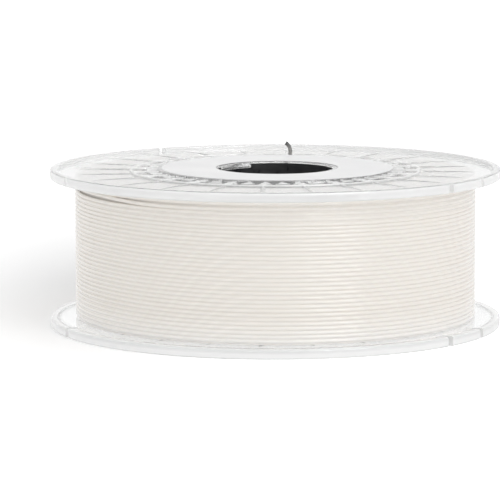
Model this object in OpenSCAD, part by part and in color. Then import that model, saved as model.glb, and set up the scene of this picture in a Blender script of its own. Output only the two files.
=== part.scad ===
// Filament spool: two clear moulded flanges snapped onto a black core, wound nearly full of filament.
// It lies on its lower flange. The origin is the centre of the lower face and +Z runs up the bore.
// Angles round the axis start at the front (-Y) and grow toward +X.

/* [Spool] */
// Outer diameter of both flanges
flange_d = 200; // [197:1:206]
// Width over the two rims
spool_w = 70; // [66:1:76]
// Bore that turns on a spindle
bore_d = 51; // [50:0.5:52]

/* [Flange] */
// Height of the rim bead
rim_h = 4.2; // [4:0.1:4.6]
// Width of the rim bead
rim_w = 3.6; // [3:0.1:4.2]
// Thickness of the web inside the rim
web_t = 2.6; // [2.3:0.1:2.8]
// Thickness of the hub plateau that carries the label
hub_t = 3.9; // [3.7:0.05:3.95]
// Diameter of the hub plateau
hub_d = 105; // [104.5:0.5:106]
// Diameter of the scalloped band round the hub
band_d = 129.2; // [127:0.2:131]
// Number of long ribs on the web, with two scallops of the inner row between each pair
ribs = 24; // [20:1:25]
// Angle of the first rib
rib_from = -4.3; // [-8:0.1:8]
// Width of a long rib
rib_w = 1; // [0.8:0.1:1.4]
// Height of a long rib where it leaves the band
rib_h = 0.5; // [0.3:0.1:0.7]

/* [Rim slots and holes] */
// Angles of the slots that clamp a loose end
slot_angles = [48.5, 63.5, -65, -147];
// Width of a rim slot
slot_w = 3; // [2.4:0.1:3.6]
// Depth of a rim slot from the edge
slot_l = 5; // [4:0.5:6]
// Angle of the slot hole that holds the outer end of the filament
lock_angle = -99; // [-100:0.5:-97]
// Angle of the hole that the inner end of the filament leaves by
anchor_angle = 173; // [170:0.5:174]
// Width of both filament holes
hole_w = 2.6; // [2.4:0.1:2.8]

/* [Core] */
// Outside diameter of the drum under the filament
drum_d = 109; // [108.4:0.2:109.6]
// Wall of the drum
drum_wall = 2.9; // [2.6:0.1:3.1]
// Wall of the bore tube
tube_wall = 2; // [1.8:0.1:2.2]
// Number of spokes between tube and drum
spokes = 8; // [4:4:12]
// Angle of the first of two keys between each flange and the bore tube
key_angle = -131.5; // [-140:0.5:-125]
// Span of a key round the bore
key_span = 46; // [30:1:60]
// Depth of a key along the bore
key_h = 1.8; // [1:0.1:2]

/* [Filament] */
// Diameter of the filament
filament_d = 1.75; // [1.7:0.01:1.8]
// Diameter over the outer layer
wound_d = 178; // [172:1:180]
// Turns drawn in the outer layer
turns = 24; // [18:1:24]
// Height of the loose inner end above the rim
tail_up = 5.2; // [4:0.2:8]

/* [Label] */
// Diameter of the paper ring
label_d = 102.8; // [98:0.2:103]
// Sideways shift of the paper ring, as it was stuck on
label_shift = 0.8; // [0:0.1:0.8]

/* [Hidden] */
flange_r = flange_d / 2;
bore_r = bore_d / 2;
tube_r = bore_r + tube_wall;
drum_r = drum_d / 2;
drum_in = drum_r - drum_wall;
hub_r = hub_d / 2;
band_r = band_d / 2;
// The lip over the tube end is what stays of the hub above the tube socket
socket_t = hub_t - 0.8;
// The band stands above the web, and its two rows of scallops step down toward the hub
band_t = web_t + 0.8;
scallop_t = 2.1;
scallop_in_t = 1.4;
pitch_a = 360 / ribs;
scallop_w = 2 * PI * hub_r / ribs - 1.2;
scallop_in_w = PI * hub_r / ribs - 2;
// Snap arms stand inside the drum and hook outward into its windows
spigot_r = drum_in - 0.1;
arm_angles = [30.7, 120.7, 210.7, 300.7];
arm_span = 13;
arm_l = 9;
window_h = 3.2;
inner_gap = spool_w - 2 * rim_h;
// Centre line of the outer layer
wire_r = filament_d / 2;
lay_r = wound_d / 2 - wire_r;
// The plain layers stay under the flats of the drawn turns
rings = 24;
pack_r = lay_r * cos(180 / rings) - wire_r - 0.05;
// Layers below that stop short of the flanges come in groups
short_groups = 4;
short_by = 1;
bend_r = 1.8;
lay_z0 = rim_h + wire_r + 0.45;
lay_z1 = spool_w - rim_h - bend_r - 0.1;
lay_pitch = (lay_z1 - lay_z0) / turns;
// The winding stops one bend short of the lock hole, so that the end comes up in the middle of the hole
run_angle = lock_angle + atan(bend_r / lay_r);
tail_r = drum_r + 2.1;
$fn = 96;

// Turns children to an angle from the front, at a distance from the axis
module at(angle, r) {
  rotate([0, 0, angle])
    translate([0, -r, 0])
      children();
}

// Outline of a slot that runs outward (-Y) from y = 0 and ends in a half circle
module slot_shape(w, l) {
  translate([-w / 2, -(l - w / 2)])
    square([w, l - w / 2]);
  translate([0, -(l - w / 2)])
    circle(d = w, $fn = 32);
}

// Outline of a notch that starts in a half circle at y = 0 and stays open outward (-Y)
module notch_shape(w, l) {
  translate([-w / 2, -l])
    square([w, l - w / 2]);
  translate([0, -w / 2])
    circle(d = w, $fn = 32);
}

// Outline of a scallop that runs outward (-Y) from y = 1 and ends in two round corners
module scallop_shape(w, l, corner) {
  translate([-w / 2, -(l - corner)])
    square([w, l - corner + 1]);
  translate([-w / 2 + corner, -l])
    square([w - 2 * corner, l]);
  for (side = [-1, 1])
    translate([side * (w / 2 - corner), -(l - corner)])
      circle(r = corner, $fn = 32);
}

// Section of the rim bead, with its four edges rounded
module rim_shape(edge) {
  translate([flange_r - rim_w, edge])
    square([rim_w, rim_h - 2 * edge]);
  translate([flange_r - rim_w + edge, 0])
    square([rim_w - 2 * edge, rim_h]);
  for (x = [flange_r - rim_w + edge, flange_r - edge])
    for (z = [edge, rim_h - edge])
      translate([x, z])
        circle(r = edge, $fn = 32);
}

// One snap arm: it stands off the inner face and carries a hook on its outer side
module snap_arm() {
  rotate([0, 0, -90 - arm_span / 2])
    rotate_extrude(angle = arm_span)
      polygon([
        [spigot_r - 1.9, 0.5],
        [spigot_r, 0.5],
        [spigot_r, -arm_l + window_h - 0.4],
        [spigot_r + 1.1, -arm_l + window_h - 0.7],
        [spigot_r + 1.1, -arm_l + 1.6],
        [spigot_r, -arm_l],
        [spigot_r - 1.9, -arm_l]
      ]);
}

// Revolved body of a flange, inner face at z = 0 and outer face up
module flange_turned() {
  rotate_extrude($fn = 192) {
    rim_shape(0.9);
    translate([band_r - 1, 0])
      square([flange_r - rim_w / 2 - band_r + 1, web_t]);
    difference() {
      translate([bore_r, 0])
        square([hub_r - bore_r, hub_t]);
      // Hollow under the plateau
      translate([tube_r + 3, -1])
        square([spigot_r - 3.2 - tube_r - 3, 2.4]);
      // Lead-in round the bore
      polygon([[bore_r - 1, hub_t - 0.4], [bore_r, hub_t - 0.4], [bore_r + 0.4, hub_t], [bore_r + 0.4, hub_t + 1],
        [bore_r - 1, hub_t + 1]]);
    }
    // Spigot that centres the flange in the drum
    translate([spigot_r - 1.6, -3.5])
      square([1.5, 4]);
  }
}

// Space that the end of the bore tube takes in a flange, with room for the two keys that stop it turning
module tube_socket(play) {
  translate([0, 0, -1])
    rotate_extrude()
      translate([bore_r - 1, 0])
        square([tube_wall + 1 + play, 1 + socket_t - key_h]);
  for (a = [key_angle, key_angle + 180])
    rotate([0, 0, a - 90 + key_span / 2])
      rotate_extrude(angle = 180 - key_span)
        translate([bore_r - 1, 0])
          square([tube_wall + 1 + play, socket_t]);
}

// Ring of two rows of scallops between the hub plateau and the web
module scalloped_band() {
  difference() {
    rotate_extrude($fn = 192)
      translate([hub_r - 0.5, 0])
        square([band_r - hub_r + 0.5, band_t]);
    for (i = [0 : ribs - 1])
      at(rib_from + (i + 0.5) * pitch_a, hub_r)
        translate([0, 0, scallop_t])
          linear_extrude(band_t)
            scallop_shape(scallop_w, band_r - hub_r - 1.2, 3.4);
    for (i = [0 : 2 * ribs - 1])
      at(rib_from + (i + 0.5) * pitch_a / 2, hub_r)
        translate([0, 0, scallop_in_t])
          linear_extrude(band_t)
            scallop_shape(scallop_in_w, 4.6, 2.2);
  }
}

// One long rib that falls from the band to nothing near the rim
module long_rib() {
  translate([-rib_w / 2, 0, 0])
    rotate([0, 90, 0])
      rotate([0, 0, 90])
        linear_extrude(rib_w)
          polygon([[0.4, web_t - 0.3], [0.4, web_t + rib_h], [-24, web_t + 0.05], [-24, web_t - 0.3]]);
}

// Complete flange, inner face at z = 0 and outer face up
module flange() {
  difference() {
    union() {
      flange_turned();
      scalloped_band();
      for (i = [0 : ribs - 1])
        at(rib_from + i * pitch_a, band_r)
          long_rib();
      for (a = arm_angles)
        rotate([0, 0, a])
          snap_arm();
    }
    for (a = slot_angles)
      at(a, flange_r - slot_l)
        translate([0, 0, -1])
          linear_extrude(rim_h + 2)
            notch_shape(slot_w, slot_l + 1);
    at(lock_angle, lay_r - 3.4)
      translate([0, 0, -1])
        linear_extrude(rim_h + 2) {
          slot_shape(hole_w, 6);
          circle(d = hole_w, $fn = 32);
        }
    at(anchor_angle, tail_r)
      translate([0, 0, -1])
        cylinder(d = hole_w, h = rim_h + 2, $fn = 32);
    tube_socket(0.05);
  }
}

module lower_flange() {
  color([0.92, 0.94, 0.95, 0.35])
    translate([0, 0, rim_h])
      mirror([0, 0, 1])
        flange();
}

module upper_flange() {
  color([0.92, 0.94, 0.95, 0.35])
    translate([0, 0, spool_w - rim_h])
      flange();
}

// Bore tube, drum and the spokes between them, with windows for the snap hooks
module core() {
  color([0.05, 0.05, 0.055])
    difference() {
      union() {
        translate([0, 0, rim_h - socket_t])
          difference() {
            cylinder(r = tube_r, h = inner_gap + 2 * socket_t);
            translate([0, 0, -1])
              cylinder(r = bore_r, h = inner_gap + 2 * socket_t + 2);
          }
        translate([0, 0, rim_h])
          difference() {
            cylinder(r = drum_r, h = inner_gap, $fn = 192);
            translate([0, 0, -1])
              cylinder(r = drum_in, h = inner_gap + 2, $fn = 192);
          }
        for (i = [0 : spokes - 1])
          rotate([0, 0, 8.2 + i * 360 / spokes])
            translate([tube_r - 0.5, -1, rim_h + arm_l + 3])
              cube([drum_in - tube_r + 1, 2, inner_gap - 2 * arm_l - 6]);
      }
      for (a = arm_angles)
        for (z = [rim_h + arm_l - window_h, spool_w - rim_h - arm_l])
          at(a, drum_r - drum_wall / 2)
            translate([-7, -drum_wall, z])
              cube([14, 2 * drum_wall, window_h]);
      // Seats of the flange keys in both ends of the tube
      for (a = [key_angle, key_angle + 180])
        for (z = [rim_h - socket_t - 1, spool_w - rim_h + socket_t - key_h - 0.05])
          translate([0, 0, z])
            rotate([0, 0, a - 90 - key_span / 2 - 0.2])
              rotate_extrude(angle = key_span + 0.4)
                translate([bore_r - 1, 0])
                  square([tube_wall + 2, key_h + 1.05]);
    }
}

// Grooves in the upper end of the layers below, where some layers stop half a turn short of the flange
function short_layers(z, dip) = let(step = (pack_r - drum_r) / short_groups)
  [for (i = [0 : short_groups - 1])
    for (p = [[-0.29, 0], [-0.22, 1], [0.22, 1], [0.29, 0]])
      [drum_r + (i + 0.5 + p[0]) * step, z - p[1] * dip]];

// The turns below the outer layer, as one ring, with a pocket that the outer layer comes up from
module filament_inner_layers() {
  upper = short_layers(spool_w - rim_h - 0.05, short_by);
  lower = short_layers(rim_h + 0.05, -short_by);
  color([0.89, 0.86, 0.82])
    difference() {
      rotate_extrude($fn = 72)
        polygon(concat(
          [[drum_r + 0.05, rim_h + 0.05], [drum_r + 0.05, spool_w - rim_h - 0.05]],
          upper,
          [[pack_r, spool_w - rim_h - 0.05], [pack_r, rim_h + 0.05]],
          [for (i = [len(lower) - 1 : -1 : 0]) lower[i]]
        ));
      at(run_angle, lay_r - bend_r - filament_d)
        translate([-bend_r - 2, -8, lay_z0 - wire_r - 0.4])
          cube([2 * bend_r + 4, 8, filament_d + 0.8]);
    }
}

// Point at an angle from the front
function polar(a, r, z) = [r * sin(a), -r * cos(a), z];

// Unit vectors at an angle: outward, and the way the winding runs
function outward(a) = [sin(a), -cos(a), 0];
function along(a) = [-cos(a), -sin(a), 0];

// The strand as rows of point, side vector and upper vector
// It leaves the layer below straight outward, bends into the winding, climbs, then bends up through the lock hole
function start_rows() = let(a = run_angle, o = outward(a), t = along(a), c = polar(a, lay_r - bend_r, lay_z0))
  concat(
    [for (s = [1, 0.5]) [c - o * filament_d * s - t * bend_r, -t, [0, 0, 1]]],
    [for (b = [0 : 15 : 75]) [c + o * bend_r * sin(b) - t * bend_r * cos(b), o * sin(b) - t * cos(b), [0, 0, 1]]]
  );

function turn_rows() =
  [for (i = [0 : turns * rings])
    let(a = run_angle - i * 360 / rings)
      [polar(a, lay_r, lay_z0 + lay_pitch * i / rings), outward(a), [0, 0, 1]]];

function end_rows() = let(a = run_angle, o = outward(a), t = along(a), c = polar(a, lay_r, lay_z1 + bend_r))
  concat(
    [for (b = [15 : 15 : 90])
      [c + t * bend_r * sin(b) - [0, 0, bend_r * cos(b)], o, [0, 0, cos(b)] - t * sin(b)]],
    [for (s = [0.9, web_t - 0.4]) [c + t * bend_r + [0, 0, s], o, -t]]
  );

strand = concat(start_rows(), turn_rows(), end_rows());

// Least gap between turns that lie next to each other, from the distance of the centre lines
strand_gap = min([for (i = [0 : len(strand) - 13])
  min([for (j = [i + 12 : min(i + 40, len(strand) - 1)]) norm(strand[i][0] - strand[j][0])])]) - filament_d;
echo(strand_points = len(strand), least_gap = strand_gap);

// Closed tube through rows of point, side vector and upper vector
module tube(rows, r, sides) {
  n = len(rows);
  points = [for (row = rows)
    for (k = [0 : sides - 1])
      row[0] + r * (cos(360 * k / sides) * row[1] + sin(360 * k / sides) * row[2])];
  walls = [for (i = [0 : n - 2])
    for (k = [0 : sides - 1])
      let(a = i * sides + k, b = i * sides + (k + 1) % sides)
        each [[a, b, a + sides], [b, b + sides, a + sides]]];
  first = [for (k = [1 : sides - 2]) [0, k + 1, k]];
  top = (n - 1) * sides;
  last = [for (k = [1 : sides - 2]) [top, top + k, top + k + 1]];
  polyhedron(points, concat(walls, first, last));
}

module filament_outer_layer() {
  color([0.91, 0.88, 0.84])
    tube(strand, wire_r, 6);
}

// The inner end of the filament: straight up through the anchor hole, then curled over to the side
curl_r = 8;
curl_a = 36;
tail_z = spool_w + tail_up - curl_r * sin(curl_a);
tail_at = polar(anchor_angle, tail_r, 0);

function tail_rows() = concat(
  [for (z = [spool_w - rim_h - 0.05, spool_w, tail_z]) [tail_at + [0, 0, z], [1, 0, 0], [0, 1, 0]]],
  [for (b = [6 : 6 : curl_a])
    [tail_at + [curl_r * (cos(b) - 1), 0, tail_z + curl_r * sin(b)], [cos(b), 0, sin(b)], [0, 1, 0]]]
);

module filament_start_end() {
  color([0.55, 0.54, 0.52])
    tube(tail_rows(), wire_r, 12);
}

// Bare paper ring on the upper hub plateau
module hub_label() {
  color([0.95, 0.95, 0.95])
    translate([label_shift, 0, spool_w - rim_h + hub_t])
      difference() {
        cylinder(d = label_d, h = 0.2, $fn = 192);
        translate([0, 0, -1])
          cylinder(r = bore_r + 1.7, h = 3);
      }
}

lower_flange();
upper_flange();
core();
filament_inner_layers();
filament_outer_layer();
filament_start_end();
hub_label();
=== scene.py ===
# %% [markdown]
# # A clear spool wound with filament
#
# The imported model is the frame: every piece below sits where its CAD node sits, in metres, with +Z up the
# bore and -Y toward the viewer. Sizes are written in millimetres, because that is how the spool is drawn,
# and are turned into metres in one place only.

# %% Load the frame
import math

import bmesh
import bpy
import numpy as np
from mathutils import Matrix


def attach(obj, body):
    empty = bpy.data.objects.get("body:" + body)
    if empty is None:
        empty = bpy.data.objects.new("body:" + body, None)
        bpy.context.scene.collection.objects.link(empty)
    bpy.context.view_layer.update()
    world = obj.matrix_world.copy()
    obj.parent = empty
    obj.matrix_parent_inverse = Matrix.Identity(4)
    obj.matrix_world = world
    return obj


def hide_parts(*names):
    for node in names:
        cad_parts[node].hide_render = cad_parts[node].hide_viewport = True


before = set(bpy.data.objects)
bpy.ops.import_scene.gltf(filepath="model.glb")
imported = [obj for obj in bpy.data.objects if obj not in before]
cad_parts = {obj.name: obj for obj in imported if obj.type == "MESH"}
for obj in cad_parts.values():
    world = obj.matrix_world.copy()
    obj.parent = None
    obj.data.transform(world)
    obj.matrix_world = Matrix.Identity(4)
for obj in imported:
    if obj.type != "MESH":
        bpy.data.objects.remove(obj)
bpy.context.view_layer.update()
MM = 0.001
print("nodes:", sorted(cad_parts))

# %% [markdown]
# ## The camera
#
# The photograph was taken from far away with a long lens, a little above the upper flange. The distance,
# height, tilt and lens were fitted to the outlines of both flanges, so the camera comes before any piece.

# %% Camera
CAMERA_BACK, CAMERA_UP = 1.4518, 0.22905
CAMERA_TILT, CAMERA_ROLL, CAMERA_PAN = 0.1344, 0.002, 0.0075
LENS_MM, SENSOR_MM, SEE_TO = 236.66, 36.0, 50.0

camera_data = bpy.data.cameras.new("camera")
camera_data.lens = LENS_MM
camera_data.sensor_width = SENSOR_MM
camera_data.clip_end = SEE_TO
camera = bpy.data.objects.new("camera", camera_data)
camera.location = (0.0, -CAMERA_BACK, CAMERA_UP)
camera.rotation_euler = (math.pi / 2 - CAMERA_TILT, CAMERA_ROLL, CAMERA_PAN)
bpy.context.scene.collection.objects.link(camera)
bpy.context.scene.camera = camera
bpy.context.scene.view_settings.view_transform = "Standard"
paths = bpy.context.scene.cycles
paths.max_bounces, paths.diffuse_bounces, paths.glossy_bounces, paths.transmission_bounces = 24, 8, 16, 24
paths.transparent_max_bounces = 32
print("camera", tuple(camera.location), "lens", LENS_MM)

# %% [markdown]
# ## Helpers for node materials
#
# Each finish is a Principled shader with a little pattern on top. The helpers keep that readable: one makes
# the material, one adds a node with its values, one joins two sockets. The others add a node that is needed
# often, join what feeds it and return what it gives.


# %% Material helpers
def new_material(name):
    """An empty node material and its output node."""
    material = bpy.data.materials.new(name)
    material.use_nodes = True
    tree = material.node_tree
    tree.nodes.clear()
    return material, tree, tree.nodes.new("ShaderNodeOutputMaterial")


def add_node(tree, kind, **values):
    """A node of that kind with its named input sockets set."""
    node = tree.nodes.new(kind)
    for name, value in values.items():
        node.inputs[name.replace("_", " ")].default_value = value
    return node


def join(tree, source, target):
    """A link from one socket to another."""
    tree.links.new(source, target)


def object_noise(tree, scale, detail=3.0, stretch=(1.0, 1.0, 1.0)):
    """Noise over Object coordinates; stretch scales the three axes, so that the grain can run one way."""
    place = tree.nodes.new("ShaderNodeTexCoord")
    turn = add_node(tree, "ShaderNodeMapping", Scale=stretch)
    noise = add_node(tree, "ShaderNodeTexNoise", Scale=scale, Detail=detail)
    join(tree, place.outputs["Object"], turn.inputs["Vector"])
    join(tree, turn.outputs["Vector"], noise.inputs["Vector"])
    return noise


def ramp_between(tree, factor, low, high, start=0.3, end=0.7):
    """A two-colour ramp driven by a factor socket."""
    ramp = tree.nodes.new("ShaderNodeValToRGB")
    ramp.color_ramp.elements[0].position, ramp.color_ramp.elements[0].color = start, (*low, 1.0)
    ramp.color_ramp.elements[1].position, ramp.color_ramp.elements[1].color = end, (*high, 1.0)
    join(tree, factor, ramp.inputs["Fac"])
    return ramp


def bump_from(tree, height, strength, distance):
    """A bump node that reads a height socket."""
    bump = add_node(tree, "ShaderNodeBump", Strength=strength, Distance=distance)
    join(tree, height, bump.inputs["Height"])
    return bump


def map_range(tree, source, **limits):
    """A socket's value carried from one range to another, with the named limits set."""
    node = add_node(tree, "ShaderNodeMapRange", **limits)
    join(tree, source, node.inputs["Value"])
    return node.outputs["Result"]


def math_of(tree, operation, first, second):
    """The result of a Math node on two sockets."""
    node = tree.nodes.new("ShaderNodeMath")
    node.operation = operation
    join(tree, first, node.inputs[0])
    join(tree, second, node.inputs[1])
    return node.outputs[0]


def object_height(tree):
    """The height above the floor in metres, from Object coordinates."""
    split = tree.nodes.new("ShaderNodeSeparateXYZ")
    join(tree, tree.nodes.new("ShaderNodeTexCoord").outputs["Object"], split.inputs[0])
    return split.outputs["Z"]


def point_value(tree, name):
    """A number that the mesh stores at its points."""
    stored = tree.nodes.new("ShaderNodeAttribute")
    stored.attribute_name = name
    return stored.outputs["Fac"]


def blend_color(tree, factor, color, other):
    """From a colour socket, where the factor is 0, to a plain colour, where it is 1."""
    node = tree.nodes.new("ShaderNodeMix")
    node.data_type = "RGBA"
    join(tree, factor, node.inputs["Factor"])
    join(tree, color, node.inputs["A"])
    node.inputs["B"].default_value = (*other, 1.0)
    return node.outputs["Result"]


def blend_shader(tree, factor, first, second):
    """From one shader, where the factor is 0, to another, where it is 1."""
    node = tree.nodes.new("ShaderNodeMixShader")
    join(tree, factor, node.inputs["Fac"])
    join(tree, first, node.inputs[1])
    join(tree, second, node.inputs[2])
    return node.outputs[0]


WHITE = (1.0, 1.0, 1.0, 1.0)
print("material helpers ready")

# %% [markdown]
# ## Floor, world and lamps
#
# The spool lies on white paper. The floor is a pale diffuse sheet that keeps the soft shadow. For the camera
# it also glows a little, and more so the farther it is from the middle of the shadow. So far paper is white,
# with no more light on the spool. Mirrors and clear plastic see plain white there. A soft lamp at the right
# front sends the shadow to the left, and two weaker ones fill the front and the top. A tall panel beside the
# first shows in reflections only. It gives the bright upright band on the winding, with no more light on the
# rest.

# %% Floor
PAPER, GLOW_NEAR, GLOW_FAR, WHITE_THROUGH = 0.88, 0.0, 0.4, 1.0
SHADE_AT, SHADE_SQUEEZE = (-0.085, 0.13, 0.0), 3.0
SHADE_NEAR, SHADE_FAR = 0.05, 0.38
FLOOR_HALF = 8.0


def ray_is(tree, *kinds):
    """1 for rays of any of the named kinds, from the Light Path node."""
    path = tree.nodes.new("ShaderNodeLightPath")
    found = path.outputs[kinds[0]]
    for kind in kinds[1:]:
        found = math_of(tree, "MAXIMUM", found, path.outputs[kind])
    return found


def paper_floor():
    """White diffuse paper. For the camera a glow grows with the distance from the middle of the shadow,
    measured in a space that is squeezed along X. Rays from mirrors and clear plastic find plain white."""
    material, tree, output = new_material("floor_paper")
    sheet = add_node(tree, "ShaderNodeBsdfDiffuse", Color=(PAPER, PAPER, PAPER, 1.0))
    squeeze = add_node(tree, "ShaderNodeMapping", Scale=(SHADE_SQUEEZE, 1.0, 1.0))
    join(tree, tree.nodes.new("ShaderNodeTexCoord").outputs["Object"], squeeze.inputs["Vector"])
    away = tree.nodes.new("ShaderNodeVectorMath")
    away.operation = "DISTANCE"
    away.inputs[1].default_value = (SHADE_AT[0] * SHADE_SQUEEZE, SHADE_AT[1], SHADE_AT[2])
    join(tree, squeeze.outputs["Vector"], away.inputs[0])
    level = map_range(tree, away.outputs["Value"], From_Min=SHADE_NEAR, From_Max=SHADE_FAR,
                      To_Min=GLOW_NEAR, To_Max=GLOW_FAR)
    glow = add_node(tree, "ShaderNodeEmission", Color=WHITE)
    join(tree, math_of(tree, "MULTIPLY", level, ray_is(tree, "Is Camera Ray")), glow.inputs["Strength"])
    both = tree.nodes.new("ShaderNodeAddShader")
    join(tree, sheet.outputs[0], both.inputs[0])
    join(tree, glow.outputs[0], both.inputs[1])
    white = add_node(tree, "ShaderNodeEmission", Color=WHITE, Strength=WHITE_THROUGH)
    through = ray_is(tree, "Is Glossy Ray", "Is Transmission Ray")
    join(tree, blend_shader(tree, through, both.outputs[0], white.outputs[0]), output.inputs["Surface"])
    return material


floor_mesh = bpy.data.meshes.new("floor")
floor_corners = [(-FLOOR_HALF, -FLOOR_HALF, 0), (FLOOR_HALF, -FLOOR_HALF, 0),
                 (FLOOR_HALF, FLOOR_HALF, 0), (-FLOOR_HALF, FLOOR_HALF, 0)]
floor_mesh.from_pydata(floor_corners, [], [(0, 1, 2, 3)])
floor = bpy.data.objects.new("floor", floor_mesh)
floor_mesh.materials.append(paper_floor())
bpy.context.scene.collection.objects.link(floor)
print("floor", 2 * FLOOR_HALF, "m wide")

# %% World
LIGHT_LEFT, LIGHT_RIGHT = 0.85, 0.82
SEEN_LOW, SEEN_HIGH, SEEN_HIGH_AT = 0.97, 1.0, 0.4

world = bpy.data.worlds.new("studio")
bpy.context.scene.world = world
world.use_nodes = True
world_tree = world.node_tree
world_tree.nodes.clear()
sky = world_tree.nodes.new("ShaderNodeSeparateXYZ")
join(world_tree, world_tree.nodes.new("ShaderNodeTexCoord").outputs["Generated"], sky.inputs[0])
as_light = map_range(world_tree, sky.outputs["X"], From_Min=-1.0, To_Min=LIGHT_LEFT, To_Max=LIGHT_RIGHT)
as_seen = map_range(world_tree, sky.outputs["Z"], From_Max=SEEN_HIGH_AT, To_Min=SEEN_LOW, To_Max=SEEN_HIGH)
world_level = world_tree.nodes.new("ShaderNodeMix")
seen = ray_is(world_tree, "Is Camera Ray", "Is Glossy Ray", "Is Transmission Ray")
join(world_tree, seen, world_level.inputs["Factor"])
join(world_tree, as_light, world_level.inputs["A"])
join(world_tree, as_seen, world_level.inputs["B"])
world_glow = add_node(world_tree, "ShaderNodeBackground", Color=WHITE)
join(world_tree, world_level.outputs["Result"], world_glow.inputs["Strength"])
world_output = world_tree.nodes.new("ShaderNodeOutputWorld")
join(world_tree, world_glow.outputs[0], world_output.inputs["Surface"])
print("world light", LIGHT_LEFT, "to", LIGHT_RIGHT)


# %% Lamps
def soft_lamp(name, place, aim, width, height, power):
    """A rectangular soft lamp at a place, turned to face a point."""
    data = bpy.data.lights.new(name, "AREA")
    data.shape = "RECTANGLE"
    data.size, data.size_y, data.energy = width, height, power
    lamp = bpy.data.objects.new(name, data)
    lamp.location = place
    toward = np.array(aim) - np.array(place)
    flat = math.hypot(toward[0], toward[1])
    lamp.rotation_euler = (math.pi / 2 + math.atan2(toward[2], flat), 0.0, math.atan2(-toward[0], toward[1]))
    bpy.context.scene.collection.objects.link(lamp)
    return lamp


soft_lamp("key_right_front", (0.86, -1.14, 0.95), (0.0, 0.0, 0.03), width=0.7, height=0.8, power=4.0)
soft_lamp("front_fill", (-0.35, -1.75, 0.3), (0.0, 0.0, 0.04), width=1.6, height=0.6, power=0.7)
soft_lamp("top_fill", (0.1, 0.1, 1.6), (0.0, 0.0, 0.0), width=1.4, height=1.4, power=2.0)
panel = soft_lamp("shine_panel", (0.78, -1.2, 0.95), (0.0, 0.0, 0.03), width=1.04, height=1.6, power=13.0)
panel.visible_diffuse = False
panel.visible_transmission = False
print("lamps", sorted(light.name for light in bpy.data.lights))

# %% [markdown]
# ## Helpers for meshes
#
# Every new piece is a grid of points worked out as whole arrays: rows along one parameter, columns along the
# other. The faces of such a grid follow from the row and column numbers alone, so they are made by
# arithmetic too. Angles round the spool start at the front (-Y) and grow toward +X, as in the drawing.


# %% Mesh helpers
def lattice(rows, cols, close_rows=False, close_cols=True):
    """Quads of a rows x cols grid. Point (i, j) is number i * cols + j; a closed direction joins its ends."""
    i = np.arange(rows if close_rows else rows - 1)[:, None]
    j = np.arange(cols if close_cols else cols - 1)[None, :]
    after_i, after_j = (i + 1) % rows, (j + 1) % cols
    corners = (i * cols + j, i * cols + after_j, after_i * cols + after_j, after_i * cols + j)
    return np.stack(np.broadcast_arrays(*corners), -1).reshape(-1, 4)


def around(radius, angle, height):
    """Points at a distance from the axis, an angle in degrees from the front, and a height."""
    radius, angle, height = np.broadcast_arrays(radius, np.radians(angle), height)
    return np.stack([radius * np.sin(angle), -radius * np.cos(angle), height], -1)


def solid_mesh(name, points, faces, sharp_deg=38.0):
    """A mesh in metres from points in millimetres: doubles merged, faces turned outward, shaded smooth."""
    mesh = bpy.data.meshes.new(name)
    mesh.from_pydata((np.asarray(points).reshape(-1, 3) * MM).tolist(), [], [list(f) for f in faces])
    work = bmesh.new()
    work.from_mesh(mesh)
    bmesh.ops.remove_doubles(work, verts=work.verts, dist=1e-7)
    bmesh.ops.recalc_face_normals(work, faces=work.faces)
    work.to_mesh(mesh)
    work.free()
    mesh.shade_smooth()
    mesh.set_sharp_from_angle(angle=math.radians(sharp_deg))
    return mesh


def place_piece(name, mesh, material, slot, *nodes):
    """An object at the origin that rides on the spool's one body and stands for CAD nodes."""
    mesh.materials.clear()
    mesh.materials.append(material)
    piece = bpy.data.objects.new(name, mesh)
    bpy.context.scene.collection.objects.link(piece)
    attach(piece, "root")
    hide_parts(*nodes)
    mesh.calc_loop_triangles()
    print(name, len(mesh.loop_triangles), "triangles")


def step_up(value, low, high):
    """Smooth step from 0 at low to 1 at high."""
    t = np.clip((value - low) / (high - low), 0.0, 1.0)
    return t * t * (3.0 - 2.0 * t)


print("mesh helpers ready")

# %% [markdown]
# ## The clear flange
#
# A real flange is one thin moulding: a rim bead, a web with low ribs, a ring of scallops round the hub and a
# raised hub that carries the label. It could be cut from solids, but clear plastic shows every facet, so it
# is a grid instead: one closed section carried round the axis. Where the outer face has ribs and scallops,
# the height is a function of radius and angle. Columns crowd together along each rib, so its sides stay
# straight. A hair of air keeps the clear faces off the black core, because two faces in one plane flicker.

# %% Sizes of the flange
SPOOL_W, RIM_H, RIM_W, FLANGE_R = 70.0, 4.2, 3.6, 100.0
WEB_T, HUB_T, HUB_R, BAND_R = 2.6, 3.9, 52.5, 64.6
BAND_T, SCALLOP_T, SCALLOP_IN_T, TAB_R = 3.4, 2.1, 1.4, 57.4
BORE_R, SOCKET_T, KEY_H, KEY_SPAN, KEY_ANGLE, KEY_SOFT = 25.5, 3.1, 1.8, 46.0, -131.5, 0.25
RIBS, RIB_FROM, RIB_LENGTH, RIB_H = 24, -4.3, 24.0, 0.5
RIB_PITCH = 360.0 / RIBS
RIB_OFFSETS, COLUMNS_BETWEEN = (-0.75, -0.5, -0.35, 0.0, 0.35, 0.5, 0.75), 23
RIB_TOP_HALF, RIB_FOOT_HALF = 0.32, 0.68
BIG_GAP, BIG_END, BIG_CORNER = 1.2, 1.2, 3.4
SMALL_GAP, SMALL_REACH, SMALL_CORNER = 2.0, 4.6, 2.2
SCALLOP_SOFT, TAB_SOFT, BAND_SOFT_IN, BAND_SOFT_OUT = 0.3, 0.4, 0.25, 0.15
print("flange", FLANGE_R, "mm in radius,", RIBS, "ribs")


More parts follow.
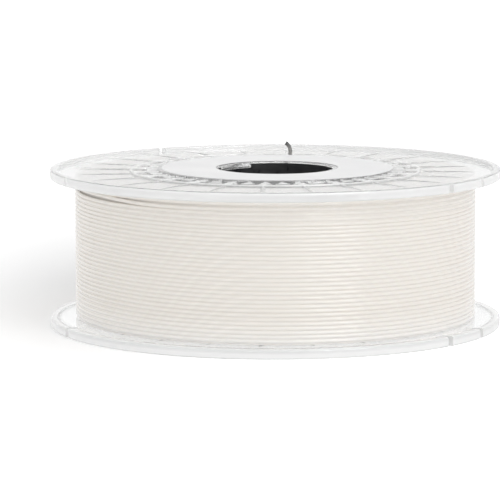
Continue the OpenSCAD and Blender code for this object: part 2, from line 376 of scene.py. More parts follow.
# %% The flange's outer face
def angle_columns(radius):
    """Angles of all columns at each radius: seven columns at fixed offsets in mm from each rib's middle, and
    23 evenly shared over the way to the next rib."""
    share = np.linspace(0.0, 1.0, COLUMNS_BETWEEN + 2)[1:-1]
    radius = np.asarray(radius)[:, None]
    beside = np.degrees(np.arcsin(np.array(RIB_OFFSETS)[None, :] / radius))
    edge = beside[:, -1:]
    between = edge + share[None, :] * (RIB_PITCH - 2 * edge)
    one = np.concatenate([beside, between], 1)
    starts = RIB_FROM + RIB_PITCH * np.arange(RIBS)
    return (starts[None, :, None] + one[:, None, :]).reshape(len(radius), -1)


def scallop_depth(radius, angle, pitch, width, reach, corner):
    """1 inside a row of scallops and 0 outside. Each is a box with round outer corners that points outward
    from the hub; its signed distance, turned into a smooth step, gives the moulded wall."""
    turn = np.radians((angle - RIB_FROM) % pitch - pitch / 2)
    side = np.abs(radius * np.sin(turn)) - (width / 2 - corner)
    out = radius * np.cos(turn) - (reach - corner)
    away = np.hypot(np.maximum(side, 0), np.maximum(out, 0)) + np.minimum(np.maximum(side, out), 0) - corner
    return step_up(-away, -SCALLOP_SOFT, SCALLOP_SOFT)


def outer_height(radius, angle):
    """Height of the flange's outer face between hub and rim: the web, plus the band less its two rows of
    scallops, or the falling rib, whichever is higher. Short tabs stay between the small scallops."""
    big_width = 2 * math.pi * HUB_R / RIBS - BIG_GAP
    small_width = math.pi * HUB_R / RIBS - SMALL_GAP
    big = scallop_depth(radius, angle, RIB_PITCH, big_width, BAND_R - BIG_END, BIG_CORNER)
    small = scallop_depth(radius, angle, RIB_PITCH / 2, small_width, HUB_R + SMALL_REACH, SMALL_CORNER)
    outer_row = (BAND_T - SCALLOP_T) * big * step_up(radius, TAB_R - TAB_SOFT, TAB_R + TAB_SOFT)
    band = BAND_T - np.maximum(outer_row, (BAND_T - SCALLOP_IN_T) * small)
    face = band + (WEB_T - band) * step_up(radius, BAND_R - BAND_SOFT_IN, BAND_R + BAND_SOFT_OUT)
    turn = np.radians((angle - RIB_FROM + RIB_PITCH / 2) % RIB_PITCH - RIB_PITCH / 2)
    beside = 1.0 - step_up(np.abs(radius * np.sin(turn)), RIB_TOP_HALF, RIB_FOOT_HALF)
    along = np.clip((radius - BAND_R) / RIB_LENGTH, 0.0, 1.0)
    rib = WEB_T + RIB_H * (1 - along) * beside * (radius > BAND_R)
    return np.maximum(face, rib)


print("columns round the flange", angle_columns([FLANGE_R]).shape[1])


# %% The flange's section
def arc_points(x, z, r, first, last, count):
    """Points on a quarter round of the section, from one angle to another in degrees."""
    a = np.radians(np.linspace(first, last, count))
    return np.stack([x + r * np.cos(a), z + r * np.sin(a)], -1)


EDGE = 0.9
AIR = 0.03
lip = np.array([
    (BORE_R, SOCKET_T + AIR), (BORE_R, 3.5), (25.58, 3.66), (25.72, 3.8), (25.9, 3.88), (26.2, HUB_T),
])
plateau = np.array([(35, HUB_T), (45, HUB_T), (51.9, HUB_T), (52.25, 3.86), (52.42, 3.75), (52.5, 3.55)])
patterned = np.concatenate([
    [52.56, 52.7, 52.95], np.linspace(53.3, 57.9, 14), np.linspace(58.6, 61.0, 4), np.linspace(61.4, 64.0, 9),
    [64.2, 64.35, 64.5, 64.62, 64.76, 65.1], [67, 70, 74, 78, 82, 85.5, 88.0, 88.7, 90, 93, 95.6, 96.2],
])
rim = np.concatenate([
    [(96.36, 2.68), (96.4, 2.85), (96.4, 3.3)],
    arc_points(FLANGE_R - RIM_W + EDGE, RIM_H - EDGE, EDGE, 162, 90, 5),
    [(98.2, RIM_H)],
    arc_points(FLANGE_R - EDGE, RIM_H - EDGE, EDGE, 90, 0, 6),
    [(FLANGE_R, RIM_H / 2)],
    arc_points(FLANGE_R - EDGE, EDGE, EDGE, 0, -90, 6),
])
inside = np.array([
    (95, AIR), (86, AIR), (72, AIR), (58, AIR), (51.5, AIR), (51.4, -0.1), (51.4, -3.3), (51.2, -3.5),
    (50.1, -3.5), (49.9, -3.3), (49.9, -0.1), (49.8, AIR), (48.4, AIR), (48.3, 0.1), (48.3, 1.3), (48.2, 1.4),
    (40, 1.4), (30.6, 1.4), (30.5, 1.3), (30.5, 0.1), (30.4, AIR), (27.65, AIR), (27.55, 0.1),
    (27.55, SOCKET_T + AIR),
])
section = np.concatenate([lip, plateau, np.stack([patterned, np.zeros_like(patterned)], -1), rim, inside])
is_patterned = np.zeros(len(section), bool)
is_patterned[len(lip) + len(plateau):len(lip) + len(plateau) + len(patterned)] = True
is_socket = np.zeros(len(section), bool)
is_socket[[0, -1]] = True
print("section points", len(section))


# %% The flange's grid
def key_roof(angle):
    """Height of the tube socket's roof: it steps down inside the two keys that stop the core turning."""
    off = np.abs((angle - KEY_ANGLE + 90.0) % 180.0 - 90.0)
    inside_key = 1.0 - step_up(off, KEY_SPAN / 2 - KEY_SOFT, KEY_SPAN / 2 + KEY_SOFT)
    return SOCKET_T + AIR - KEY_H * inside_key


def flange_grid():
    """Points of a flange, inner face at height 0 and outer face up: the section at every column's angle."""
    radius = section[:, 0][:, None]
    angle = angle_columns(section[:, 0])
    height = np.where(is_patterned[:, None], outer_height(radius, angle), section[:, 1][:, None])
    height = np.where(is_socket[:, None], key_roof(angle), height)
    return around(radius, angle, height)


flange_points = flange_grid()
flange_rows, flange_cols = flange_points.shape[:2]
whole_flange = solid_mesh("flange_whole", flange_points, lattice(flange_rows, flange_cols, close_rows=True))
print("flange grid", flange_rows, "x", flange_cols)

# %% [markdown]
# ### Slots and holes
#
# The rim has slots that clamp a loose end of filament, and the web has a long hole for the outer end and a
# round one for the inner end. A grid can't have holes, so these are cut with a Boolean, once, before the
# flange is copied for the other side.

# %% Slots and holes
SLOT_ANGLES, SLOT_W, SLOT_L = (48.5, 63.5, -65.0, -147.0), 3.0, 5.0
LOCK_ANGLE, ANCHOR_ANGLE, HOLE_W = -99.0, 173.0, 2.6
FILAMENT_R, WOUND_R, DRUM_R = 0.875, 89.0, 54.5
LAY_R = WOUND_R - FILAMENT_R
TAIL_R = DRUM_R + 2.1
LOCK_BACK, LOCK_L, SLOT_PAST, CUT_PAST, HAIR = 3.4, 6.0, 4.0, 2.0, 0.001
ROUND_STEPS = 17


def stadium_prism(angle, near, far, width):
    """A cutter with round ends between two distances from the axis, at an angle: (points, faces)."""
    half = np.radians(np.linspace(-90, 90, ROUND_STEPS))
    round_end = np.stack([width / 2 * np.sin(half), width / 2 * np.cos(half)], -1)
    outline = np.concatenate([[0, far - width / 2] + round_end, [0, near + width / 2] - round_end])
    a = math.radians(angle)
    flat = outline @ np.array([[math.cos(a), math.sin(a)], [math.sin(a), -math.cos(a)]])
    n = len(flat)
    points = np.concatenate([np.c_[flat, np.full(n, -CUT_PAST)], np.c_[flat, np.full(n, RIM_H + CUT_PAST)]])
    faces = [list(f) for f in lattice(2, n)] + [list(range(n)), list(range(n, 2 * n))]
    return points, faces


def joined(parts):
    """Several (points, faces) pairs as one."""
    points, faces, start = [], [], 0
    for p, f in parts:
        points.append(np.asarray(p).reshape(-1, 3))
        faces += [[int(k) + start for k in face] for face in f]
        start += len(points[-1])
    return np.concatenate(points), faces


def cut_away(mesh, cutter):
    """The mesh less the cutter, worked out by a Boolean modifier and stored as a new mesh."""
    body = bpy.data.objects.new("cut_body", mesh)
    knife = bpy.data.objects.new("cut_knife", cutter)
    for thing in (body, knife):
        bpy.context.scene.collection.objects.link(thing)
    boolean = body.modifiers.new("cut", "BOOLEAN")
    boolean.operation, boolean.solver, boolean.object = "DIFFERENCE", "EXACT", knife
    result = bpy.data.meshes.new_from_object(body.evaluated_get(bpy.context.evaluated_depsgraph_get()))
    for thing in (body, knife):
        bpy.data.objects.remove(thing)
    return result


cutters = [stadium_prism(a, FLANGE_R - SLOT_L, FLANGE_R + SLOT_PAST, SLOT_W) for a in SLOT_ANGLES]
cutters.append(stadium_prism(LOCK_ANGLE, LAY_R - LOCK_BACK - HOLE_W / 2, LAY_R - LOCK_BACK + LOCK_L, HOLE_W))
cutters.append(stadium_prism(ANCHOR_ANGLE, TAIL_R - HOLE_W / 2 - HAIR, TAIL_R + HOLE_W / 2 + HAIR, HOLE_W))
cut_flange = cut_away(whole_flange, solid_mesh("cutters", *joined(cutters)))
print("cut flange", len(cut_flange.polygons), "faces")

# %% [markdown]
# ### Snap arms
#
# Four short arms under the hub hook into the drum, so the flange snaps on without screws. Each could be a
# bevelled box, but it follows the hub's curve, so it is a small section carried over 13 degrees.

# %% Snap arms
SPIGOT_R, ARM_L, ARM_T, ARM_ROOT, ARM_SPAN, WINDOW_H = 51.5, 9.0, 1.9, 0.3, 13.0, 3.2
HOOK_OUT, HOOK_PLAY, HOOK_FALL, HOOK_TIP, HOOK_DRAFT = 1.1, 0.4, 0.3, 1.6, 0.05
ARM_ANGLES, ARM_STEPS = (30.7, 120.7, 210.7, 300.7), 9


def snap_arm(angle):
    """An arm as (points, faces): its hooked section, as rows, at a few angles, as columns, with flat ends."""
    catch = -ARM_L + WINDOW_H - HOOK_PLAY
    hook = np.array([
        (SPIGOT_R - ARM_T, ARM_ROOT), (SPIGOT_R - HOOK_DRAFT, ARM_ROOT), (SPIGOT_R, catch),
        (SPIGOT_R + HOOK_OUT, catch - HOOK_FALL), (SPIGOT_R + HOOK_OUT, -ARM_L + HOOK_TIP),
        (SPIGOT_R, -ARM_L), (SPIGOT_R - ARM_T, -ARM_L),
    ])
    turn = angle + np.linspace(-ARM_SPAN / 2, ARM_SPAN / 2, ARM_STEPS)
    points = around(hook[:, :1], turn[None, :], hook[:, 1:])
    rows, cols = points.shape[:2]
    faces = [list(f) for f in lattice(rows, cols, close_rows=True, close_cols=False)]
    faces += [[i * cols for i in range(rows)], [i * cols + cols - 1 for i in range(rows)]]
    return points, faces


def mesh_arrays(mesh):
    """A mesh's points in millimetres and its faces as lists."""
    points = np.empty(len(mesh.vertices) * 3)
    mesh.vertices.foreach_get("co", points)
    return points.reshape(-1, 3) / MM, [list(p.vertices) for p in mesh.polygons]


flange_all = joined([mesh_arrays(cut_flange)] + [snap_arm(a) for a in ARM_ANGLES])
print("flange with arms", len(flange_all[1]), "faces")

# %% [markdown]
# ### How milky the plastic is
#
# A clear moulding isn't equally clear all over: its edges, its ribs and the lands between the scallops
# scatter light and look white. That could be a painted texture, but one number at each point is enough here,
# from 0 for clear to 1 for white. The finish reads it as an attribute. The same number also paints light:
# the white of the rim's outer wall and of the slots stands partly for the glow that clear plastic gathers at
# its edges, and the white of the rounded edge by the inner face is a painted highlight.

# %% Haze
HAZE_RADII = (51.6, 52.6, 57.0, 57.6, 64.0, 64.3, 64.7, 65.1, 88.0,
              95.9, 96.3, 96.6, 97.2, 98.6, 99.2, 99.5, 99.9)
# The last level whitens the rim's outer wall, partly painted light for the glow at the plastic's edges.
HAZE_AND_GLOW_LEVELS = (0.1, 0.22, 0.22, 0.08, 0.08, 0.3, 0.3, 0.08, 0.08,
               0.1, 0.4, 0.4, 0.2, 0.1, 0.05, 0.1, 0.76)
HAZE_SLOT_GLOW, HAZE_EDGE_HIGHLIGHT, HAZE_LAND, HAZE_RIB, HAZE_HIDDEN = 0.6, 0.8, 0.85, 0.25, 0.04
WALL_R, INNER_EDGE_R, INNER_EDGE_H, SKIN = 99.2, 99.0, 1.0, 0.1
LAND_LOW, LAND_HIGH, RIB_LOW, RIB_HIGH = 2.9, 3.35, WEB_T + 0.02, WEB_T + 0.2
HUB_SLACK, SLOT_SLACK, SLOT_END_SLACK = 0.05, 0.02, 0.05


def mark_haze_and_painted_light(mesh, inner_face, share, wall):
    """Stores how milky the plastic is, 0 clear to 1 white, at every point. A list gives it by radius, and
    the lands between the scallops and the ribs get more. The inner face is nearly clear, and the rim's edge
    and the slots have one level each. The white of the rim's edge is a painted highlight, and the white of
    the outer wall and the slots is partly painted light for the glow at the plastic's edges. A share below 1
    makes the flange clearer inside its rim, and wall scales its outer wall."""
    points = mesh_arrays(mesh)[0]
    radius = np.hypot(points[:, 0], points[:, 1])
    above = np.abs(points[:, 2] - inner_face)
    on_band = (radius > HUB_R + HUB_SLACK) & (radius < BAND_R)
    on_ribs = (radius > BAND_R) & (radius < BAND_R + RIB_LENGTH)
    haze_and_painted_light = np.interp(radius, HAZE_RADII, HAZE_AND_GLOW_LEVELS) * np.where(radius < WALL_R, share, wall)
    haze_and_painted_light += HAZE_LAND * step_up(above, LAND_LOW, LAND_HIGH) * on_band
    haze_and_painted_light += HAZE_RIB * step_up(above, RIB_LOW, RIB_HIGH) * on_ribs
    haze_and_painted_light = np.minimum(haze_and_painted_light, 1.0)
    haze_and_painted_light[(above < SKIN) & (radius < INNER_EDGE_R)] = HAZE_HIDDEN * share
    # Painted highlight: the rounded edge of the rim next to the inner face is white for the bright line a
    # highlight draws along it.
    haze_and_painted_light[(above < INNER_EDGE_H) & (radius > INNER_EDGE_R)] = HAZE_EDGE_HIGHLIGHT
    off = np.arctan2(points[:, 0], -points[:, 1])[:, None] - np.radians(SLOT_ANGLES)
    beside = np.where(np.cos(off) > 0, np.abs(radius[:, None] * np.sin(off)), FLANGE_R).min(1)
    in_slot = (beside < SLOT_W / 2 + SLOT_SLACK) & (radius > FLANGE_R - SLOT_L - SLOT_END_SLACK)
    # Partly painted light: the slot walls are white for the glow at the plastic's edges.
    haze_and_painted_light[in_slot] = HAZE_SLOT_GLOW
    mesh.attributes.new("haze_and_painted_light", "FLOAT", "POINT").data.foreach_set("value", haze_and_painted_light)
    print(mesh.name, "mean haze", round(float(haze_and_painted_light.mean()), 3))


# %% [markdown]
# ### The clear finish
#
# Polystyrene is clear, hard and glossy, so the base is a Principled shader with full transmission. A
# renderer could follow the light that such plastic bunches together, but that takes long. Here rays that ask
# for lamp light pass nearly straight through. Where the haze is high, the plastic is white and a little
# translucent.

# %% Clear plastic
MILK_SHARE, PASS_CLEAR, PASS_MILKY = 0.1, 0.97, 0.45


def clear_plastic():
    """Clear polystyrene: it bends light and mirrors at a low angle. Its surface is faintly uneven from the
    mould. Where the stored milkiness is high it is white and a little translucent, and lets less lamp light
    through. At the rim that white is partly painted light and a painted highlight."""
    material, tree, output = new_material("clear_polystyrene")
    body = add_node(tree, "ShaderNodeBsdfPrincipled", Base_Color=(0.985, 0.988, 0.988, 1.0), Roughness=0.04,
                    IOR=1.5)
    flow = object_noise(tree, 55.0, 2.0, (1.0, 1.0, 3.0))
    join(tree, bump_from(tree, flow.outputs["Fac"], 0.004, 0.001).outputs["Normal"], body.inputs["Normal"])
    haze_and_painted_light = point_value(tree, "haze_and_painted_light")
    join(tree, map_range(tree, haze_and_painted_light, To_Min=1.0, To_Max=0.0), body.inputs["Transmission Weight"])
    milk = add_node(tree, "ShaderNodeBsdfTranslucent", Color=(0.97, 0.97, 0.97, 1.0))
    milky = blend_shader(tree, map_range(tree, haze_and_painted_light, To_Max=MILK_SHARE), body.outputs[0], milk.outputs[0])
    open_way = add_node(tree, "ShaderNodeBsdfTransparent")
    join(tree, map_range(tree, haze_and_painted_light, To_Min=PASS_CLEAR, To_Max=PASS_MILKY), open_way.inputs["Color"])
    plastic = blend_shader(tree, ray_is(tree, "Is Shadow Ray"), milky, open_way.outputs[0])
    join(tree, plastic, output.inputs["Surface"])
    return material


CLEAR = clear_plastic()
print("finish", CLEAR.name)

# %% [markdown]
# ### The two flanges
#
# Both flanges are the same moulding. The upper one is the grid lifted to the top, and the lower one is its
# mirror image. In the photograph the lower one looks clearer inside and whiter at its wall, so its milkiness
# is scaled. The whiter wall is painted light: with the shaded floor and winding behind it, the lower rim
# would look darker than the upper one.

# %% Both flanges
# Painted light: the lower rim's wall is made whiter to make up for the shade behind it.
LOWER_SHARE, LOWER_WALL_PAINTED_LIGHT = 0.15, 1.25
lifted = flange_all[0] + [0, 0, SPOOL_W - RIM_H]
turned_over = flange_all[0] * [1, 1, -1] + [0, 0, RIM_H]
upper_mesh = solid_mesh("clear_upper_flange", lifted, flange_all[1])
lower_mesh = solid_mesh("clear_lower_flange", turned_over, flange_all[1])
mark_haze_and_painted_light(upper_mesh, SPOOL_W - RIM_H, share=1.0, wall=1.0)
mark_haze_and_painted_light(lower_mesh, RIM_H, share=LOWER_SHARE, wall=LOWER_WALL_PAINTED_LIGHT)
place_piece("clear_upper_flange", upper_mesh, CLEAR, "clear_flange", "upper_flange")
place_piece("clear_lower_flange", lower_mesh, CLEAR, "clear_flange", "lower_flange")

# %% [markdown]
# ## The black core
#
# The core's solid already has its true curves, so the CAD node stays and only gets its finish: dark moulded
# plastic, fairly glossy, with a faint unevenness that breaks up the reflections in the bore.


# %% Core finish
def black_plastic():
    """Near-black plastic with a soft gloss that varies a little."""
    material, tree, output = new_material("black_core_plastic")
    body = add_node(tree, "ShaderNodeBsdfPrincipled", IOR=1.5)
    grain = object_noise(tree, 240.0, 4.0)
    tint = ramp_between(tree, grain.outputs["Fac"], (0.018, 0.018, 0.02), (0.03, 0.03, 0.032))
    join(tree, tint.outputs["Color"], body.inputs["Base Color"])
    shine = ramp_between(tree, grain.outputs["Fac"], (0.24,) * 3, (0.4,) * 3)
    join(tree, shine.outputs["Color"], body.inputs["Roughness"])
    join(tree, bump_from(tree, grain.outputs["Fac"], 0.1, 0.0005).outputs["Normal"], body.inputs["Normal"])
    join(tree, body.outputs[0], output.inputs["Surface"])
    return material


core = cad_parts["core"]
core.data.materials.clear()
core.data.materials.append(black_plastic())
print("core finished")

# %% [markdown]
# ## The wound filament
#
# One strand fills the spool. Its outer layer is drawn turn by turn: a round tube carried along a helix that
# climbs to the left at the front, as in the photograph. The turns below can't be seen one by one, so they
# are a ring whose two end faces are ridged, one ridge for each layer, because they show through the clear
# flanges. The last turns leave gaps at the left. There the ring's wall lies lower, as the next layer down
# would, and is painted a darker brown for the shade in these gaps. The end faces get some of that painted
# shade too.


# %% Filament finish
# Painted shade: a darker, browner tint for the gaps under the last turns and the layer ends hidden under the
# flanges.
PAINTED_SHADE_TINT = (0.47, 0.45, 0.43)
# Painted light: a lighter tint on the lowest turns, for the light that the floor sends up through the lower
# flange.
FLOOR_LIGHT_TINT, FLOOR_LIGHT_FROM, FLOOR_LIGHT_TO = (0.965, 0.935, 0.9), 15.0, 6.0


def filament_plastic():
    """Milky off-white filament: satin, slightly see-into, with small changes of tone from turn to turn. The
    lowest turns get a lighter tint, which is painted light from the floor below. Where the mesh stores
    painted shade, the colour turns darker and browner, for the shade in the gaps under the last turns and on
    the hidden layer ends."""
    material, tree, output = new_material("milky_filament")
    body = add_node(tree, "ShaderNodeBsdfPrincipled", IOR=1.46, Subsurface_Weight=0.1,
                    Subsurface_Scale=0.0005, Subsurface_Radius=(1.0, 0.85, 0.7))
    tone = object_noise(tree, 90.0, 4.0, (1.0, 1.0, 6.0))
    light = ramp_between(tree, tone.outputs["Fac"], (0.885, 0.845, 0.795), (0.9, 0.862, 0.815))
    # Painted light: the tint grows lighter toward the floor, from the given heights down.
    low = map_range(tree, object_height(tree), From_Min=FLOOR_LIGHT_FROM * MM, From_Max=FLOOR_LIGHT_TO * MM)
    floor_lit = blend_color(tree, low, light.outputs["Color"], FLOOR_LIGHT_TINT)
    join(tree, blend_color(tree, point_value(tree, "painted_shade"), floor_lit, PAINTED_SHADE_TINT), body.inputs["Base Color"])
    fine = object_noise(tree, 1500.0, 2.0)
    join(tree, bump_from(tree, fine.outputs["Fac"], 0.015, 0.0002).outputs["Normal"], body.inputs["Normal"])
    shine = ramp_between(tree, tone.outputs["Fac"], (0.13,) * 3, (0.16,) * 3)
    join(tree, shine.outputs["Color"], body.inputs["Roughness"])
    join(tree, body.outputs[0], output.inputs["Surface"])
    return material


FILAMENT = filament_plastic()
print("finish", FILAMENT.name)

# %% Ridges of the layers
RING_IN, RING_OUT, RING_BODY = DRUM_R + 0.06, 87.3, 88.4
RING_LOW, RING_HIGH = RIM_H + 0.1, SPOOL_W - RIM_H - 0.1
GROUP, SHORT_BY, SHORT_INNER, SHORT_OUTER = 7.988, 1.0, 0.22, 0.29
LAYER_STEP, LAYERS, STEPS_EACH = GROUP / 5, 21, 10
RIDGE_H, DRIFT_H, DRIFT_PACE = 0.75, 0.08, 2.4
FIRST_SHORT, FIRST_FROM, FIRST_TO = 1.5, DRUM_R + 7.5, DRUM_R + 9.0
FLUSH_FROM, FLUSH_TO = RING_OUT - 2.6, RING_OUT - 1.0


def layer_ridges(radius):
    """How far an end face lies below the flange: a half round for each layer plus a slow drift, and in
    every group of five layers two that stop short. The first layers stop shorter still, and the outermost
    turns lie against the flange."""
    layer = (radius - DRUM_R) / LAYER_STEP
    across = 2.0 * (layer % 1.0) - 1.0
    half_round = RIDGE_H * (1.0 - np.sqrt(np.clip(1.0 - across**2, 0.0, 1.0)))
    short = 1.0 - step_up(np.abs((radius - DRUM_R) / GROUP % 1.0 - 0.5), SHORT_INNER, SHORT_OUTER)
    depth = half_round + SHORT_BY * short + DRIFT_H * (1.0 + np.sin(DRIFT_PACE * np.floor(layer)))
    depth = depth + FIRST_SHORT * (1.0 - step_up(radius, FIRST_FROM, FIRST_TO))
    return depth * (1.0 - step_up(radius, FLUSH_FROM, FLUSH_TO))


ring_r = np.linspace(RING_IN, RING_OUT, LAYERS * STEPS_EACH + 1)
print("deepest ridge", round(float(layer_ridges(ring_r).max()), 2), "mm")

# %% Inner layers
GAP_DEPTH, GAP_AND_SHADE_TO, SHADE_FADE_FROM, BODY_DEPTH, WALL_SLACK = 4.6, 4.7, 5.0, 5.2, 0.01
# By angle, how far the gaps under the last turns open: the same levels set how low the ring's wall lies and
# how much painted shade it gets.
GAP_AND_SHADE_ANGLES = (-180, -95, -70, -52, -40, -26, 0, 25, 50, 90, 180)
GAP_AND_SHADE_LEVELS = (0.3, 0.75, 0.8, 0.6, 0.4, 0.2, 0.05, 0.0, 0.0, 0.1, 0.3)
PAINTED_SHADE_ENDS, FILLED, RING_COLUMNS = 0.5, 0.95, 180

ring_top = np.stack([ring_r, RING_HIGH - layer_ridges(ring_r)], -1)
ring_low = np.stack([ring_r[::-1], RING_LOW + layer_ridges(ring_r[::-1])], -1)
ring_low = np.concatenate([[(RING_BODY, RING_LOW)], ring_low])
ring_wall = np.array([(RING_OUT, RING_HIGH - GAP_DEPTH), (RING_BODY, RING_HIGH - BODY_DEPTH)])
ring_section = np.concatenate([ring_top, ring_wall, ring_low])
ring_angle = np.linspace(-180, 180, RING_COLUMNS + 1)[:-1]
low_wall = (ring_section[:, :1] > RING_OUT - WALL_SLACK) & (ring_section[:, 1:] > RING_HIGH - GAP_AND_SHADE_TO)
filled = 1.0 - np.interp(ring_angle, GAP_AND_SHADE_ANGLES, GAP_AND_SHADE_LEVELS) / max(GAP_AND_SHADE_LEVELS)
ring_radius = ring_section[:, :1] + low_wall * FILLED * filled[None, :]
ring_points = around(ring_radius, ring_angle[None, :], ring_section[:, 1:])
ring_faces = lattice(len(ring_section), len(ring_angle), close_rows=True)
ring_mesh = solid_mesh("filament_layers_below", ring_points, ring_faces)
ring_at = mesh_arrays(ring_mesh)[0]
on_wall = np.hypot(ring_at[:, 0], ring_at[:, 1]) > RING_OUT - WALL_SLACK
ring_turn = np.degrees(np.arctan2(ring_at[:, 0], -ring_at[:, 1]))
# Painted shade: the top of the ring's wall is tinted darker, most at the left where the gaps are, and the end
# faces get half of it.
shade = np.interp(ring_turn, GAP_AND_SHADE_ANGLES, GAP_AND_SHADE_LEVELS)
wall_shade = shade * step_up(ring_at[:, 2], RING_HIGH - SHADE_FADE_FROM, RING_HIGH - GAP_AND_SHADE_TO)
painted_shade = np.where(on_wall, wall_shade, PAINTED_SHADE_ENDS)
ring_mesh.attributes.new("painted_shade", "FLOAT", "POINT").data.foreach_set("value", painted_shade)
place_piece("filament_layers_below", ring_mesh, FILAMENT, "filament", "filament_inner_layers")

# %% [markdown]
# ### The outer layer
#
# The turns that show are one strand, laid in a helix. It could be a curve with a round bevel, but a grid of
# rings along a path lets each turn lie where the photograph has it. The heights of the last turns come from a
# short list that was read off, and a little wander keeps the turns from looking ruled.

# %% Tube along a path
END_SIZES = (0.93, 0.78, 0.0)


def sweep(path, side, up, radius, sides):
    """A round tube: at each path point a circle in the plane of its side and up vectors, with both ends
    closed by rings that shrink to a point. Returns points on a grid of rings by sides."""
    turn = np.linspace(0, 2 * math.pi, sides, endpoint=False)
    shrink = np.array(END_SIZES)
    more = len(shrink)
    path, side, up = (np.pad(rows, ((more, more), (0, 0)), "edge") for rows in (path, side, up))
    size = np.full(len(path), radius)
    size[:more], size[-more:] = radius * shrink[::-1], radius * shrink
    ring = np.cos(turn)[None, :, None] * side[:, None, :] + np.sin(turn)[None, :, None] * up[:, None, :]
    return path[:, None, :] + size[:, None, None] * ring


print("rings that close an end", len(END_SIZES))


# %% Outer layer
TURNS, RINGS, BEND_R = 31.566, 6300, 1.8
RUN_ANGLE = LOCK_ANGLE + math.degrees(math.atan(BEND_R / LAY_R))
LAY_TURNS = (0, 24.3, 25.3, 26.3, 27.3, 28.3, 28.47, 29.3, 29.47, 30.3, 30.395, 30.414, 30.442, 30.47, 30.55,
             31.3, 31.395, 31.442, TURNS)
LAY_HEIGHTS = (5.12, 50.1, 51.85, 53.5, 55.25, 57.4, 57.6, 59.65, 59.25, 61.75, 61.1, 61.3, 61.95, 62.2, 62.2,
               63.8, 63.6, 63.4, 63.43)
LAY_SOFT, WANDER, SHIVER, BREATH = 9, 0.045, 0.03, 0.05
SETTLE_IN, SETTLE_OUT, CLIMB, CLIMB_BY = 1, 0.3, 0.85, 7
STRAND_SIDES, STRAND_SHARP = 12, 60.0
CLIMB_ANGLES, CLIMB_SHARE = (0, 15, 35, 55, 66, 85, 270, 360), (0, 0.1, 0.5, 0.9, 1, 1, 0, 0)
BEND_FROM, BEND_STEPS, RISE = 9, 10, (0.8, 1.5, 2.2)


def coil():
    """Points of the turns and the directions outward. The height follows the list of turns and heights: even
    at first, then looser, with gaps under the last turns at the left, as in the photograph. Each turn climbs
    mostly at the front left, and it wanders by less than a tenth of a millimetre."""
    turn = np.linspace(0, TURNS, RINGS + 1)
    settle = step_up(turn, 0, SETTLE_IN) * step_up(TURNS - turn, 0, SETTLE_OUT)
    listed = np.pad(np.interp(turn, LAY_TURNS, LAY_HEIGHTS), LAY_SOFT // 2, "edge")
    lay = np.convolve(listed, np.ones(LAY_SOFT) / LAY_SOFT, "valid")
    wander = WANDER * np.sin(2.1 * turn) * np.sin(0.37 * turn + 0.6) + SHIVER * np.sin(11.3 * turn)
    angle = RUN_ANGLE - 360.0 * (turn - TURNS)
    climb = CLIMB * np.interp(-angle % 360.0, CLIMB_ANGLES, CLIMB_SHARE) * step_up(turn, 0, CLIMB_BY)
    breath = BREATH * np.sin(0.9 * turn + 5.0 * np.sin(0.61 * turn)) - BREATH
    points = around(LAY_R + breath * settle, angle, lay + climb + wander * settle)
    return points, around(1.0, angle, 0.0)


def winding():
    """The strand's path with side and up vectors. It comes out of the layer below round a short bend, runs
    through all turns, and its end bends up into the long hole of the flange."""
    turns, outward = coil()
    top = np.array([[0.0, 0.0, 1.0]])
    out = outward[-1]
    along = np.cross(out, top[0])
    ease = np.radians(np.linspace(0, 90 - BEND_FROM, BEND_STEPS))[:, None]
    come_side = np.sin(ease) * out - np.cos(ease) * along
    come = turns[0] - out * BEND_R + BEND_R * come_side
    lead = come[:1] - out * 2 * FILAMENT_R
    bend = np.radians(np.linspace(BEND_FROM, 90, BEND_STEPS))[:, None]
    leave = turns[-1] + BEND_R * (np.sin(bend) * along + (1 - np.cos(bend)) * top)
    leave_up = np.cos(bend) * top - np.sin(bend) * along
    rise = leave[-1] + np.array(RISE)[:, None] * top
    path = np.concatenate([lead, come, turns, leave, rise])
    side = np.concatenate([-along[None], come_side, outward, np.repeat(out[None], len(leave) + len(rise), 0)])
    flat_up = np.repeat(top, len(lead) + len(come) + len(turns), 0)
    up = np.concatenate([flat_up, leave_up, np.repeat(-along[None], len(rise), 0)])
    return path, side, up


strand = sweep(*winding(), FILAMENT_R, STRAND_SIDES)
strand_mesh = solid_mesh("filament_turns", strand, lattice(*strand.shape[:2]), STRAND_SHARP)
place_piece("filament_turns", strand_mesh, FILAMENT, "filament", "filament_outer_layer")

# %% [markdown]
# ### The inner end
#
# The first end of the strand comes up through a hole beside the hub and curls to the left. It stands clear
# of the white mass below, so it looks darker and shows that the filament is really half clear. It could be a
# bent cylinder, but the same tube on a short path does it.


# %% Inner end
TIP_FROM, TIP_TO, TIP_TINT = 72.6, 74.6, (0.05, 0.05, 0.05)


def smoky_filament():
    """The same filament seen alone: half clear and grey, darker toward its cut tip."""
    material, tree, output = new_material("filament_alone")
    body = add_node(tree, "ShaderNodeBsdfPrincipled", Roughness=0.12, IOR=1.46, Transmission_Weight=0.8)
    tone = object_noise(tree, 600.0, 3.0)
    smoke = ramp_between(tree, tone.outputs["Fac"], (0.26, 0.255, 0.248), (0.4, 0.393, 0.382))
    tip = map_range(tree, object_height(tree), From_Min=TIP_FROM * MM, From_Max=TIP_TO * MM)
    join(tree, blend_color(tree, tip, smoke.outputs["Color"], TIP_TINT), body.inputs["Base Color"])
    join(tree, bump_from(tree, tone.outputs["Fac"], 0.1, 0.0002).outputs["Normal"], body.inputs["Normal"])
    join(tree, body.outputs[0], output.inputs["Surface"])
    return material


CURL_R, CURL_FROM, CURL_DEG, CURL_STEPS, RISE_STEPS = 4.2, 3.0, 60.0, 12, 8
TAIL_TOP, TAIL_BELOW, TAIL_SIDES = 5.714, 0.05, 16
TAIL_UP = TAIL_TOP - FILAMENT_R * math.sin(math.radians(CURL_DEG))


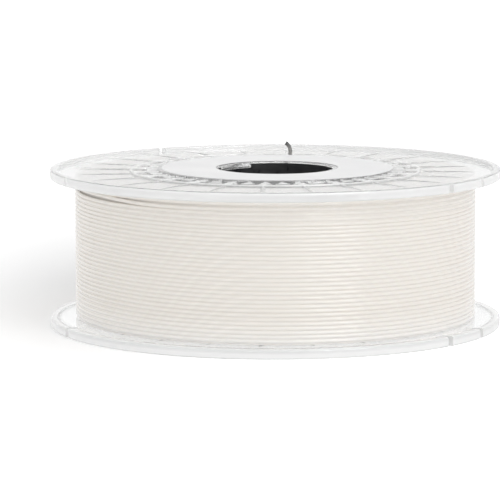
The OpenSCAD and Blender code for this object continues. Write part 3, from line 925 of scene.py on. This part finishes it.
def tail_path():
    """Straight up through the anchor hole, then round an arc that leans toward -X."""
    right, back, top = np.eye(3)
    foot = around(TAIL_R, ANCHOR_ANGLE, 0.0)
    straight_top = SPOOL_W + TAIL_UP - CURL_R * math.sin(math.radians(CURL_DEG))
    lift = np.linspace(SPOOL_W - RIM_H - TAIL_BELOW, straight_top, RISE_STEPS)[:, None]
    straight = foot + lift * top
    lean = np.radians(np.linspace(CURL_FROM, CURL_DEG, CURL_STEPS))[:, None]
    curl = foot + straight_top * top + CURL_R * ((np.cos(lean) - 1) * right + np.sin(lean) * top)
    curl_side = np.cos(lean) * right + np.sin(lean) * top
    side = np.concatenate([np.repeat([right], RISE_STEPS, 0), curl_side])
    return np.concatenate([straight, curl]), side, np.repeat([back], len(side), 0)


tail = sweep(*tail_path(), FILAMENT_R, TAIL_SIDES)
tail_mesh = solid_mesh("filament_inner_end", tail, lattice(*tail.shape[:2]), STRAND_SHARP)
place_piece("filament_inner_end", tail_mesh, smoky_filament(), "filament_end", "filament_start_end")

# %% [markdown]
# ## The paper ring
#
# A ring of coated paper is stuck on the upper hub, a little off centre. It is bare. It could be a flat disc
# with a hole, but paper has an edge that catches light, so it is a thin closed section with soft edges,
# carried round its own centre.


# %% Paper ring
def label_paper():
    """Coated white paper: satin, with faint fibre and a little uneven tone."""
    material, tree, output = new_material("label_paper")
    body = add_node(tree, "ShaderNodeBsdfPrincipled", Roughness=0.45, IOR=1.45)
    cloud = object_noise(tree, 45.0, 4.0)
    tint = ramp_between(tree, cloud.outputs["Fac"], (0.805, 0.805, 0.81), (0.87, 0.87, 0.87))
    join(tree, tint.outputs["Color"], body.inputs["Base Color"])
    fibre = object_noise(tree, 1800.0, 5.0)
    join(tree, bump_from(tree, fibre.outputs["Fac"], 0.12, 0.0002).outputs["Normal"], body.inputs["Normal"])
    join(tree, body.outputs[0], output.inputs["Surface"])
    return material


LABEL_R, LABEL_IN, LABEL_T, LABEL_SHIFT = 51.4, 27.2, 0.2, 0.8
LABEL_SOFT, LABEL_GLUE, LABEL_COLUMNS = 0.06, 0.01, 240
label_base = SPOOL_W - RIM_H + HUB_T
label_section = np.array([
    (LABEL_IN, LABEL_GLUE), (LABEL_IN, LABEL_T - LABEL_SOFT), (LABEL_IN + LABEL_SOFT, LABEL_T),
    (32, LABEL_T), (38, LABEL_T), (44, LABEL_T), (49, LABEL_T),
    (LABEL_R - LABEL_SOFT, LABEL_T), (LABEL_R, LABEL_T - LABEL_SOFT), (LABEL_R, LABEL_GLUE),
])
label_angle = np.linspace(0, 360, LABEL_COLUMNS + 1)[:-1]
label_points = around(label_section[:, :1], label_angle[None, :], label_base + label_section[:, 1:])
label_points = label_points + [LABEL_SHIFT, 0, 0]
label_faces = lattice(len(label_section), len(label_angle), close_rows=True)
label_mesh = solid_mesh("paper_ring", label_points, label_faces)
place_piece("paper_ring", label_mesh, label_paper(), "label", "hub_label")
